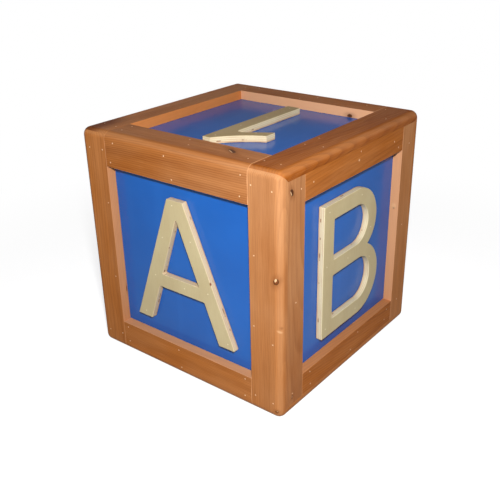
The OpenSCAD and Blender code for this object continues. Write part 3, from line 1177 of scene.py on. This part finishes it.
def round_over(made: bmesh.types.BMesh, steps: int = 7) -> None:
    """Rounds a piece wherever it forms part of the cube's outer edges and corners.

    Args:
        made: The mesh, already in its place on the block.
        steps: Facets in each eighth of a turn.
    """
    radius = SIZES.edge_radius
    core = SIZES.half - radius
    offsets = [core + radius * math.tan(math.pi / 4 * i / steps) for i in range(steps)]
    for axis, middle in enumerate(MIDDLE):
        slice_at(made, axis, [middle + sign * offset for offset in offsets for sign in (-1, 1)])
    for vert in made.verts:
        seen = vert.co - MIDDLE
        held = Vector([max(-core, min(core, c)) for c in seen])
        proud = seen - held
        if proud.length > radius:
            vert.co = MIDDLE + held + proud.normalized() * radius


def ease(made: bmesh.types.BMesh, width: float, steps: int = 2, sharp: float = 25) -> None:
    """Takes the sharpness off every edge.

    Args:
        made: The mesh.
        width: Width of the rounding.
        steps: Facets across it.
        sharp: Angle in degrees from which an edge is sharp.
    """
    bmesh.ops.bevel(
        made,
        geom=[edge for edge in made.edges if edge.calc_face_angle(0) > math.radians(sharp)],
        offset=width,
        segments=steps,
        profile=0.5,
        affect="EDGES",
        clamp_overlap=True,
    )


def bore(tool: bmesh.types.BMesh, brad: Brad, steps: int = 20) -> None:
    """Adds the shape of a brad's hole to a drill.

    Args:
        tool: The drill.
        brad: The brad.
        steps: Facets round the hole.
    """
    laid = turned_to(brad.face.directions, brad.mouth)
    levels = [
        (SIZES.head_radius, SIZES.head_radius),
        (SIZES.head_radius, -SIZES.head_depth),
        (SIZES.shank_radius, -SIZES.head_depth),
        (SIZES.shank_radius, -brad.depth),
    ]
    angles = [math.tau * i / steps for i in range(steps)]
    rings = [
        [tool.verts.new(laid @ Vector((r * math.cos(a), r * math.sin(a), z))) for a in angles]
        for r, z in levels
    ]
    tool.faces.new(rings[0])
    tool.faces.new(reversed(rings[-1]))
    for upper, lower in zip(rings, rings[1:]):
        for i in range(steps):
            j = (i + 1) % steps
            tool.faces.new((upper[j], upper[i], lower[i], lower[j]))


def drill(piece: bpy.types.Object, brads: list[Brad]) -> None:
    """Cuts the brads' holes into a piece.

    Args:
        piece: The piece, whose mesh is in its place on the block.
        brads: The brads that reach it.
    """
    if not brads:
        return
    tool = bmesh.new()
    for brad in brads:
        bore(tool, brad)
    bmesh.ops.recalc_face_normals(tool, faces=tool.faces)
    mesh = closed(tool, bpy.data.meshes.new("drill"))
    cutter = link("drill", mesh)
    cut = piece.modifiers.new("drill", "BOOLEAN")
    # The exact solver now and then leaves a whole drill in the board, so it isn't used
    cut.operation, cut.solver, cut.object = "DIFFERENCE", "MANIFOLD", cutter
    settle(piece)
    bpy.data.objects.remove(cutter)
    bpy.data.meshes.remove(mesh)


def settle(piece: bpy.types.Object) -> None:
    """Makes what a piece's modifiers show its own mesh.

    Args:
        piece: The piece.
    """
    seen = piece.evaluated_get(bpy.context.evaluated_depsgraph_get())
    piece.data = bpy.data.meshes.new_from_object(seen)
    piece.modifiers.clear()


def smooth(piece: bpy.types.Object, sharp: float = 30) -> None:
    """Shades a piece smooth across its small facets and flat on its flat faces.

    Args:
        piece: The piece.
        sharp: Angle in degrees from which an edge stays crisp.
    """
    made = opened(piece.data, WELD)
    for face in made.faces:
        face.smooth = True
    for edge in made.edges:
        edge.smooth = edge.calc_face_angle(0) < math.radians(sharp)
    closed(made, piece.data)
    even = piece.modifiers.new("even shading", "WEIGHTED_NORMAL")
    even.keep_sharp = True
    even.weight = 100


def hand_over(
    piece: bpy.types.Object, node: str, finish: bpy.types.Material, brads: list[Brad]
) -> None:
    """Drills a piece, dresses it and puts it in its CAD node's stead.

    Args:
        piece: The piece, whose mesh is in its place on the block.
        node: The CAD node that it stands for.
        finish: Its material.
        brads: The brads of the whole block.
    """
    low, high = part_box(node)
    drill(piece, [brad for brad in brads if brad.meets(low, high)])
    smooth(piece)
    piece.data.materials.clear()
    piece.data.materials.append(finish)
    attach(piece, BODY)
    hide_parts(node)
    log.info("%s: %d faces", piece.name, len(piece.data.polygons))


def islands(mesh: bpy.types.Mesh) -> list[list[Vector]]:
    """Splits a mesh into its separate solids.

    Args:
        mesh: The mesh.

    Returns:
        The points of each solid.
    """
    made = opened(mesh, FINE_WELD)
    left = set(made.verts)
    found = []
    for first in made.verts:
        if first not in left:
            continue
        left.discard(first)
        group, edge = [], [first]
        while edge:
            vert = edge.pop()
            group.append(vert.co.copy())
            near = [other for e in vert.link_edges for other in e.verts if other in left]
            left.difference_update(near)
            edge.extend(near)
        found.append(group)
    made.free()
    return found


def find_brads() -> list[Brad]:
    """Finds every brad's hole from the filler that closes it.

    Returns:
        The holes of the whole block.
    """
    found = []
    reach = SIZES.panel_thickness - SIZES.point_cover
    for face in Face:
        for points in islands(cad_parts[f"{face.title}_brad_filler"].data):
            top = max(point.dot(face.out) for point in points)
            middle = sum(points, Vector()) / len(points)
            mouth = middle + face.out * (top - middle.dot(face.out))
            # The characters lie deeper than the boards
            deep = SIZES.half + MIDDLE.dot(face.out) - top > MM
            stock = SIZES.character_thickness if deep else SIZES.board_thickness
            found.append(Brad(mouth, face, stock + reach))
    return found


# --- The boards ---------------------------------------------------------------------------------


class Position(Enum):
    """The place of a board in its frame. Its value is its place in the frame's list of names."""

    LEFT = 0
    RIGHT = 1
    UPPER = 2
    LOWER = 3

    @property
    def upright(self) -> bool:
        """Whether the board runs up the face."""
        return self in (Position.LEFT, Position.RIGHT)

    @property
    def sign(self) -> int:
        """Its side of the middle."""
        return -1 if self in (Position.LEFT, Position.LOWER) else 1


@dataclass(frozen=True)
class Board:
    """One board of a frame.

    Attributes:
        face: The side of the block that it is on.
        position: Its place in the frame.
        node: Its CAD node.
        arris: Width of the rounding along its edges.
    """

    face: Face
    position: Position
    node: str
    arris: float = 0.5 * MM

    @property
    def axes(self) -> Axes:
        """The board's own directions.

        Returns:
            The directions, with the board's middle and its ends.
        """
        face, width, sign = self.face, SIZES.board_width, self.position.sign
        upright = self.position.upright
        along, across = (face.up, face.right) if upright else (face.right, face.up)
        middle = MIDDLE + face.out * SIZES.half + across * ((SIZES.half - width / 2) * sign)
        seam = 0 if upright else SIZES.opening / 2
        return Axes(middle, along, across, face.out, -sign, width / 2, seam)

    def _blank(self) -> bmesh.types.BMesh:
        """Makes the board with sharp edges, laid flat.

        Returns:
            The closed mesh, with the board's outer face at a height of 0.
        """
        half, thick, clear = SIZES.half, SIZES.board_thickness, SIZES.opening / 2
        far = half - thick
        outer = far if self.face.inset else half
        if self.position.upright:
            made = prism([(-outer, 0), (outer, 0), (far, -thick), (-far, -thick)], clear, outer)
            flip = Vector((-1, 1, 1))
        else:
            made = prism([(clear, 0), (outer, 0), (far, -thick), (clear, -thick)], -clear, clear)
            flip = Vector((1, -1, 1))
        if self.position.sign < 0:
            bmesh.ops.scale(made, vec=flip, verts=made.verts)
            bmesh.ops.reverse_faces(made, faces=made.faces)
        return made

    def build(self, brads: list[Brad], wood: PlanedWood, grain: Grain, seed: float) -> None:
        """Builds the board, drills it and dresses it.

        Args:
            brads: The brads of the whole block.
            wood: The boards' finish.
            grain: How this board was cut.
            seed: Keeps its pattern apart from the others.
        """
        made = self._blank()
        ease(made, self.arris)
        made.transform(self.face.laid())
        if not self.face.inset:
            round_over(made)
        name = f"board_{self.node}"
        piece = link(name, closed(made, bpy.data.meshes.new(name)))
        finish = wood.paint(f"wood_{self.node}", grain, self.axes, seed)
        hand_over(piece, self.node, finish, brads)


UPRIGHT_NAMES = ("left_stile", "right_stile", "top_rail", "bottom_rail")
LEVEL_NAMES = {
    Face.TOP: ("left_board", "right_board", "back_board", "front_board"),
    Face.BOTTOM: ("left_board", "right_board", "front_board", "back_board"),
}

# Boards that show: how each was cut, by the look of its face. In order: the spacing of its rings,
# the tree's middle, its lean, contrast, tone, tan, how bare the edge in the recess is, and marks.
CUTS = {
    "front_left_stile": Grain(
        3.6 * MM, (0.05, -0.09), (0.05, 0.0), 0.24, 0.5, 0.35, 0.38,
        (Mark(MarkKind.SPLIT, (-0.165, -0.2135, 0.1335), 1 * MM, 7, 0, 0.8),),
    ),
    "front_right_stile": Grain(
        3.4 * MM, (-0.12, -0.05), (0.02, 0.02), 0.2, 0.58, 0.75, 0.5,
        (
            Mark(MarkKind.PIN, (0.2197, -0.23, 0.2746), 5.2 * MM, 1.25, 20),
            Mark(MarkKind.PIN, (0.2205, -0.23, 0.0164), 3.2 * MM, 1.1, 90, 0.8),
            Mark(MarkKind.DENT, (0.2262, -0.2262, 0.184), 5.5 * MM, 1.3, 30),
        ),
        drift=1.2,
    ),
    "front_top_rail": Grain(3.8 * MM, (0.24, -0.02), (0.02, 0.0), 0.42, 0.66, 0.5, 0.5, drift=1.6),
    "front_bottom_rail": Grain(
        3.4 * MM, (-0.2, -0.04), (-0.03, 0.0), 0.26, 0.54, 0.3, 0.55, drift=0.6,
    ),
    "right_left_stile": Grain(
        6.5 * MM, (0.03, -0.05), (0.06, 0.06), 0.24, 0.7, 0.85, 0.5,
        (
            Mark(MarkKind.SPLIT, (0.23, -0.2016, 0.4211), 4.4 * MM, 1.5, -25),
            Mark(MarkKind.KNOT, (0.23, -0.1965, 0.034), 2.8 * MM, 1.5, 30, 0.6),
        ),
        drift=1.2,
    ),
    "right_right_stile": Grain(
        3.0 * MM, (0.1, -0.06), (0.02, 0.01), 0.16, 0.46, 0.6, 0.6,
        (
            Mark(MarkKind.SMEAR, (0.2204, 0.165, 0.2788), 7 * MM, 1.5, 60, 0.6),
            Mark(MarkKind.SPLIT, (0.2204, 0.165, 0.2742), 1.8 * MM, 2.2, 60, 0.6),
        ),
        drift=0.8,
    ),
    "right_top_rail": Grain(
        5.5 * MM, (-0.06, -0.05), (0.05, 0.05), 0.24, 0.66, 0.1, 0.4,
        (Mark(MarkKind.SMEAR, (0.23, 0.0015, 0.4191), 3.5 * MM, 1.2, 0, 0.8),),
        drift=-0.8,
    ),
    "right_bottom_rail": Grain(5.0 * MM, (0.05, -0.03), (-0.09, 0.05), 0.36, 0.62, 0.0, 0.3),
    "top_left_board": Grain(
        3.6 * MM, (-0.09, -0.05), (0.02, 0.03), 0.24, 0.65, 0.4, 0.6,
        (Mark(MarkKind.HEART, (-0.216, -0.2, 0.46), 30 * MM, 2.2, 0, 2.4),),
        drift=-0.6, raw_orange=True,
    ),
    "top_right_board": Grain(3.8 * MM, (-0.02, -0.035), (0.09, 0.03), 0.4, 0.94, 0.0, 0.3),
    "top_front_board": Grain(
        3.4 * MM, (0.07, -0.06), (0.02, 0.01), 0.28, 0.76, 0.5, 0.3,
        (Mark(MarkKind.SPLIT, (0.0987, -0.1855, 0.46), 4.8 * MM, 2.5, -29),),
    ),
    "top_back_board": Grain(
        3.4 * MM, (-0.1, -0.04), (0.0, 0.03), 0.22, 0.74, 0.05, 0.95,
        (Mark(MarkKind.SPLIT, (0.1112, 0.165, 0.4446), 3.8 * MM, 1.6, 0, 1.0),),
    ),
}


def cut_by_chance(rng: random.Random) -> Grain:
    """A board from somewhere in the stack.

    Args:
        rng: The source of chance.

    Returns:
        How the board was cut.
    """
    side = rng.choice((-1, 1))
    return Grain(
        rng.uniform(2.4, 5.5) * MM,
        (side * rng.uniform(0.02, 0.16), -rng.uniform(0.03, 0.09)),
        (rng.uniform(-0.06, 0.06), rng.uniform(0, 0.05)),
        rng.uniform(0.18, 0.36),
        rng.uniform(0.4, 0.8),
        rng.uniform(0, 0.9),
        rng.uniform(0.3, 0.8),
    )


@dataclass(frozen=True)
class Frames:
    """The six frames of boards round the panels.

    Attributes:
        wood: The boards' finish.
        seed: What the boards that don't show are drawn from.
    """

    wood: PlanedWood
    seed: int = 11

    def build(self, brads: list[Brad]) -> None:
        """Builds every board.

        Args:
            brads: The brads of the whole block.
        """
        rng = random.Random(self.seed)
        for face in Face:
            for position, name in zip(Position, LEVEL_NAMES.get(face, UPRIGHT_NAMES)):
                node = f"{face.title}_{name}"
                by_chance = cut_by_chance(rng)
                seed = rng.uniform(0, SEED_SPREAD)
                grain = CUTS.get(node, by_chance)
                Board(face, position, node).build(brads, self.wood, grain, seed)


# --- The characters -----------------------------------------------------------------------------


@dataclass(frozen=True)
class Character:
    """A plywood character with sanded edges.

    Attributes:
        face: The side of the block that it is on.
        node: Its CAD node.
        tan: How brown its veneer is, from 0 to 1.
        toast: How tan its cut edge is, from 0 to 1.
        pits: The little holes that show in its edge.
        ease: Width of the rounding along its front and back.
        corner: Radius of its sharp corners.
        corner_steps: Facets round such a corner.
        sharp: Angle in degrees from which a corner is sharp.
        most_of_side: The largest share of a side that a corner may take.
    """

    face: Face
    node: str
    tan: float
    toast: float
    pits: tuple[Pit, ...] = ()
    ease: float = 1.1 * MM
    corner: float = 2 * MM
    corner_steps: int = 4
    sharp: float = 20
    most_of_side: float = 0.45

    def _rounded(self, points: list[Vector]) -> list[Vector]:
        """Rounds the sharp corners of an outline.

        Args:
            points: The outline's points, in order.

        Returns:
            The outline with an arc at each sharp corner.
        """
        found = []
        for i, here in enumerate(points):
            back, on = points[i - 1] - here, points[(i + 1) % len(points)] - here
            turn = math.pi - back.angle(on)
            cut = self.corner * math.tan(turn / 2)
            room = min(back.length, on.length)
            if turn < math.radians(self.sharp) or cut > self.most_of_side * room:
                found.append(here)
                continue
            start, end = here + back.normalized() * cut, here + on.normalized() * cut
            for step in range(self.corner_steps + 1):
                t = step / self.corner_steps
                found.append(start * (1 - t) ** 2 + here * 2 * t * (1 - t) + end * t**2)
        return found

    @staticmethod
    def _trace(first: bmesh.types.BMEdge, rim: set[bmesh.types.BMEdge]) -> list[Vector]:
        """Follows a rim once round.

        Args:
            first: The edge to start from.
            rim: The edges that are left. Those of the loop are taken out.

        Returns:
            The loop's points, in order.
        """
        rim.discard(first)
        loop = [first.verts[0], first.verts[1]]
        while True:
            onward = next((edge for edge in loop[-1].link_edges if edge in rim), None)
            if onward is None:
                break
            rim.discard(onward)
            loop.append(onward.other_vert(loop[-1]))
        return [vert.co.copy() for vert in (loop[:-1] if loop[0] is loop[-1] else loop)]

    def _loops(self) -> list[list[Vector]]:
        """Finds the outlines of the character's front, laid flat.

        Returns:
            The points of each outline, without the holes of the brads.
        """
        made = opened(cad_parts[self.node].data, FINE_WELD)
        made.transform(self.face.laid().inverted())
        top = max(vert.co.z for vert in made.verts)
        front = {
            face
            for face in made.faces
            if all(abs(vert.co.z - top) < FINE_WELD for vert in face.verts)
        }
        rim = {
            edge for edge in made.edges if sum(face in front for face in edge.link_faces) == 1
        }
        loops = []
        for first in made.edges:
            if first not in rim:
                continue
            points = self._trace(first, rim)
            # The brads' holes are the small loops
            spread = max((point - points[0]).length for point in points)
            if spread > 4 * SIZES.head_radius:
                loops.append(self._rounded(points))
        made.free()
        return loops

    def _blank(self) -> bpy.types.Mesh:
        """Makes the character with eased edges, laid flat.

        Returns:
            The mesh, with the middle of the character's thickness at a height of 0.
        """
        curve = bpy.data.curves.new(self.node, "CURVE")
        curve.dimensions, curve.fill_mode = "2D", "BOTH"
        for points in self._loops():
            spline = curve.splines.new("POLY")
            spline.points.add(len(points) - 1)
            for slot, point in zip(spline.points, points):
                slot.co = (point.x, point.y, 0, 1)
            spline.use_cyclic_u = True
        curve.extrude = SIZES.character_thickness / 2 - self.ease
        curve.bevel_depth, curve.bevel_resolution, curve.offset = self.ease, 3, -self.ease
        drawn = link(self.node + "_outline", curve)
        seen = drawn.evaluated_get(bpy.context.evaluated_depsgraph_get())
        mesh = bpy.data.meshes.new_from_object(seen)
        bpy.data.objects.remove(drawn)
        return mesh

    def build(self, brads: list[Brad], plywood: CutPlywood, seed: float) -> None:
        """Builds the character, drills it and dresses it.

        Args:
            brads: The brads of the whole block.
            plywood: The characters' finish.
            seed: Keeps its pattern apart from the others.
        """
        mesh = self._blank()
        made = opened(mesh, WELD)
        bmesh.ops.recalc_face_normals(made, faces=made.faces)
        depth = SIZES.character_thickness / 2 - SIZES.board_thickness
        made.transform(self.face.laid() @ Matrix.Translation((0, 0, depth)))
        piece = link(f"character_{self.node}", closed(made, mesh))
        finish = plywood.paint(f"plywood_{self.node}", self, seed)
        hand_over(piece, self.node, finish, brads)


CHARACTERS = (
    Character(
        Face.FRONT, "front_letter_a", 0.23, 0.35,
        (
            Pit((0.0716, -0.223, 0.2214), 2 * MM, 1.6),
            Pit((-0.0263, -0.222, 0.265), 1 * MM, 4.5),
            Pit((-0.0452, -0.2196, 0.2108), 1.9 * MM, 1.4),
        ),
    ),
    Character(
        Face.RIGHT, "right_letter_b", 0.32, 0.0,
        (
            Pit((0.2147, -0.0954, 0.2675), 1.1 * MM, 5.5),
            Pit((0.2148, -0.0954, 0.2595), 1.1 * MM, 1.2),
            Pit((0.2151, -0.0954, 0.2143), 0.8 * MM, 1.5),
        ),
    ),
    Character(Face.BACK, "back_digit_2", 0.35, 0.2),
    Character(Face.LEFT, "left_letter_c", 0.23, 0.2),
    Character(Face.TOP, "top_digit_1", 1.0, 0.0),
    Character(Face.BOTTOM, "bottom_digit_3", 0.39, 0.2),
)


@dataclass(frozen=True)
class Characters:
    """The six raised characters.

    Attributes:
        plywood: Their finish.
        seed: What their patterns are drawn from.
    """

    plywood: CutPlywood
    seed: int = 5

    def build(self, brads: list[Brad]) -> None:
        """Builds every character.

        Args:
            brads: The brads of the whole block.
        """
        rng = random.Random(self.seed)
        for character in CHARACTERS:
            character.build(brads, self.plywood, rng.uniform(0, SEED_SPREAD))


# --- The plywood box and its fastenings ---------------------------------------------------------


@dataclass(frozen=True)
class Box:
    """The painted panels, the posts inside them, the brads and their filler.

    They keep their CAD shapes.

    Attributes:
        enamel: The panels' finish.
        post_wood: The posts' finish.
        steel: The brads' finish.
        filler: The filler's finish.
    """

    enamel: PanelPaint
    post_wood: GroundFinish = GroundFinish(
        srgb(206, 164, 110), srgb(178, 132, 82), (300, 300, 12), 0.6
    )
    steel: GroundFinish = GroundFinish(
        srgb(160, 160, 158), srgb(120, 118, 116), (900, 900, 900), 0.3, 1
    )
    filler: GroundFinish = GroundFinish(
        srgb(246, 214, 176), srgb(220, 176, 130), (1500, 1500, 1500), 0.7,
        inner=srgb(234, 223, 190),
    )

    @staticmethod
    def _give(node: str, finish: bpy.types.Material) -> None:
        """Puts a finish on a CAD node.

        Args:
            node: The node's name.
            finish: The finish.
        """
        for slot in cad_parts[node].material_slots:
            slot.material = finish
        log.info("%s: %s", node, finish.name)

    def build(self) -> None:
        """Dresses every node of the box."""
        for face in Face:
            self._give(f"{face.title}_panel", self.enamel.paint(f"enamel_{face.title}", face))
        steel = self.steel.paint("brad_steel")
        filler = self.filler.paint("wood_filler")
        for face in Face:
            self._give(f"{face.title}_frame_brads", steel)
            self._give(f"{face.title}_character_brads", steel)
            self._give(f"{face.title}_brad_filler", filler)
        wood = self.post_wood.paint("inner_wood")
        for corner in ("front_left", "front_right", "back_right", "back_left"):
            self._give(f"{corner}_post", wood)


# --- The studio ---------------------------------------------------------------------------------


@dataclass(frozen=True)
class Studio:
    """The camera, the light and the floor.

    Attributes:
        azimuth: The camera's angle round the block from the front, in degrees.
        elevation: Its angle above the floor, in degrees.
        roll: How far it is tilted to one side, in degrees.
        distance: Its distance from the target.
        target: What it looks at.
        lens: Its focal length in millimetres.
        sensor: Its sensor's width in millimetres.
        clip: The nearest and the farthest distance that it sees.
        key_power: The lamp's power in watts.
        key_size: The lamp's width.
        key_rise: How far above the camera it hangs.
        key_aside: How far to the right of the camera it hangs.
        fill: Light of the dim room.
        screen: Light of the screen behind the block.
        screen_top: Heights in the sky where the screen ends and where it is full.
        screen_sides: How far round it starts, and from where it is full.
        backdrop: What gloss mirrors low in the sky.
        ceiling: What gloss mirrors high in the sky.
        backdrop_heights: Heights in the sky of the two.
        below: Light from below the horizon.
        horizon: Heights in the sky where that light starts and where it is full.
        floor_side: The floor's side.
        floor_shade: The floor's grey.
        floor_lift: What the floor adds for the camera.
        floor_glow: What it adds in gloss.
        floor_fade: Distances from the block where the floor starts to turn white and has done so.
    """

    azimuth: float = 38.725
    elevation: float = 25.272
    roll: float = -1.195
    distance: float = 1.4577
    target: tuple[float, float, float] = (-0.00253, -0.01764, 0.18906)
    lens: float = 51.418
    sensor: float = 36.0
    clip: tuple[float, float] = (0.05, 50)
    key_power: float = 24.5
    key_size: float = 0.08
    key_rise: float = 0.17
    key_aside: float = 0.03
    fill: float = 0.07
    screen: float = 6.5
    screen_top: tuple[float, float] = (0.3, 0.08)
    screen_sides: tuple[float, float] = (0.2, 0.85)
    backdrop: float = 0.6
    ceiling: float = 0.12
    backdrop_heights: tuple[float, float] = (0.02, 0.3)
    below: float = 0.9
    horizon: tuple[float, float] = (-0.02, -0.1)
    floor_side: float = 8.0
    floor_shade: float = 0.4
    floor_lift: float = 0.8
    floor_glow: float = 0.2
    floor_fade: tuple[float, float] = (0.45, 1.2)

    @property
    def directions(self) -> Directions:
        """The camera's own directions.

        Returns:
            The directions right, up and back.
        """
        angles = self.azimuth, self.elevation, self.roll
        azimuth, elevation, roll = (math.radians(angle) for angle in angles)
        level = math.cos(elevation)
        back = Vector(
            (math.sin(azimuth) * level, -math.cos(azimuth) * level, math.sin(elevation))
        )
        right = (-back).cross(UPWARD).normalized()
        up = right.cross(-back)
        return (
            right * math.cos(roll) + up * math.sin(roll),
            up * math.cos(roll) - right * math.sin(roll),
            back,
        )

    @property
    def eye(self) -> Vector:
        """Where the camera stands."""
        return Vector(self.target) + self.directions[2] * self.distance

    def _camera(self) -> None:
        """Sets up the camera where the photograph was taken from."""
        data = bpy.data.cameras.new("camera")
        data.lens, data.sensor_width = self.lens, self.sensor
        data.clip_start, data.clip_end = self.clip
        camera = link("camera", data)
        camera.matrix_world = turned_to(self.directions, self.eye)
        bpy.context.scene.camera = camera

    def _lamp(self) -> None:
        """Sets up one lamp just above the camera. It isn't mirrored, so no side shows its glare."""
        right, up, _ = self.directions
        data = bpy.data.lights.new("key", "AREA")
        data.shape, data.size, data.energy = "DISK", self.key_size, self.key_power
        lamp = link("key", data)
        place = self.eye + up * self.key_rise + right * self.key_aside
        aim = (place - MIDDLE).to_track_quat("Z", "Y").to_matrix().to_4x4()
        lamp.matrix_world = Matrix.Translation(place) @ aim
        lamp.visible_glossy = False

    @staticmethod
    def _rays(net: Net) -> tuple[Wire, Wire]:
        """Tells rays apart.

        Args:
            net: The node tree.

        Returns:
            1 for the camera's rays, and 1 for glossy and see-through ones.
        """
        camera, glossy, clear = (
            net.node("ShaderNodeLightPath", out=f"Is {kind} Ray")
            for kind in ("Camera", "Glossy", "Transmission")
        )
        return camera, glossy.most(clear)

    def _world(self) -> None:
        """Fills the room: it is dim, with a low bright screen behind for the far sides."""
        world = bpy.data.worlds.new("studio")
        world.use_nodes = True
        bpy.context.scene.world = world
        net = Net(world.node_tree)
        camera, mirrored = self._rays(net)
        back = self.directions[2]
        away = Vector((-back.x, -back.y, 0)).normalized()
        toward = net.node("ShaderNodeTexCoord", out="Generated")
        height, behind = net.along(toward, UPWARD), net.along(toward, away)
        backdrop = net.rise(height, *self.backdrop_heights, (self.backdrop, self.ceiling))
        screen = net.rise(height, *self.screen_top, (0, self.screen))
        below = net.rise(height, *self.horizon, (0, self.below))
        ambient = net.rise(behind, *self.screen_sides) * screen + below + self.fill
        level = mirrored * (backdrop - ambient) + ambient
        level = camera * (1 - level) + level
        light = net.node("ShaderNodeBackground", {}, {"Color": WHITE, "Strength": level})
        net.node("ShaderNodeOutputWorld", {}, {"Surface": light})

    def _floor_finish(self) -> bpy.types.Material:
        """Makes the floor's material: pale, with the block's shadow, and white further out.

        Returns:
            The material.
        """
        made, net = material("floor")
        x, y = net.offsets((RIGHTWARD, BACKWARD))
        far = net.rise((x**2 + y**2) ** 0.5, *self.floor_fade)
        camera, mirrored = self._rays(net)
        seen = camera.most(mirrored)
        glow = camera * (self.floor_lift - self.floor_glow) + seen * self.floor_glow
        grey = (self.floor_shade, self.floor_shade, self.floor_shade, 1)
        matt = net.node("ShaderNodeBsdfDiffuse", {}, {"Color": grey})
        lift = net.node("ShaderNodeEmission", {}, {"Color": WHITE, "Strength": glow})
        near = net.node("ShaderNodeAddShader", {}, {0: matt, 1: lift})
        white = net.node("ShaderNodeEmission", {}, {"Color": WHITE, "Strength": 1})
        shown = net.node("ShaderNodeMixShader", {}, {0: camera * far, 1: near, 2: white})
        net.node("ShaderNodeOutputMaterial", {}, {"Surface": shown})
        return made

    def _floor(self) -> None:
        """Lays the floor."""
        mesh = bpy.data.meshes.new("floor")
        r = self.floor_side / 2
        mesh.from_pydata([(-r, -r, 0), (r, -r, 0), (r, r, 0), (-r, r, 0)], [], [(0, 1, 2, 3)])
        mesh.materials.append(self._floor_finish())
        link("floor", mesh)

    def build(self) -> None:
        """Sets up the whole studio."""
        self._camera()
        self._lamp()
        self._world()
        self._floor()
        bpy.context.scene.view_settings.view_transform = "Standard"


def main() -> None:
    """Builds the block's pieces in order."""
    logging.basicConfig(level=logging.INFO, format="%(message)s")
    Studio().build()
    brads = find_brads()
    log.info("brads: %d", len(brads))
    Frames(PlanedWood()).build(brads)
    Characters(CutPlywood()).build(brads)
    Box(PanelPaint()).build()


if __name__ == "__main__":
    main()
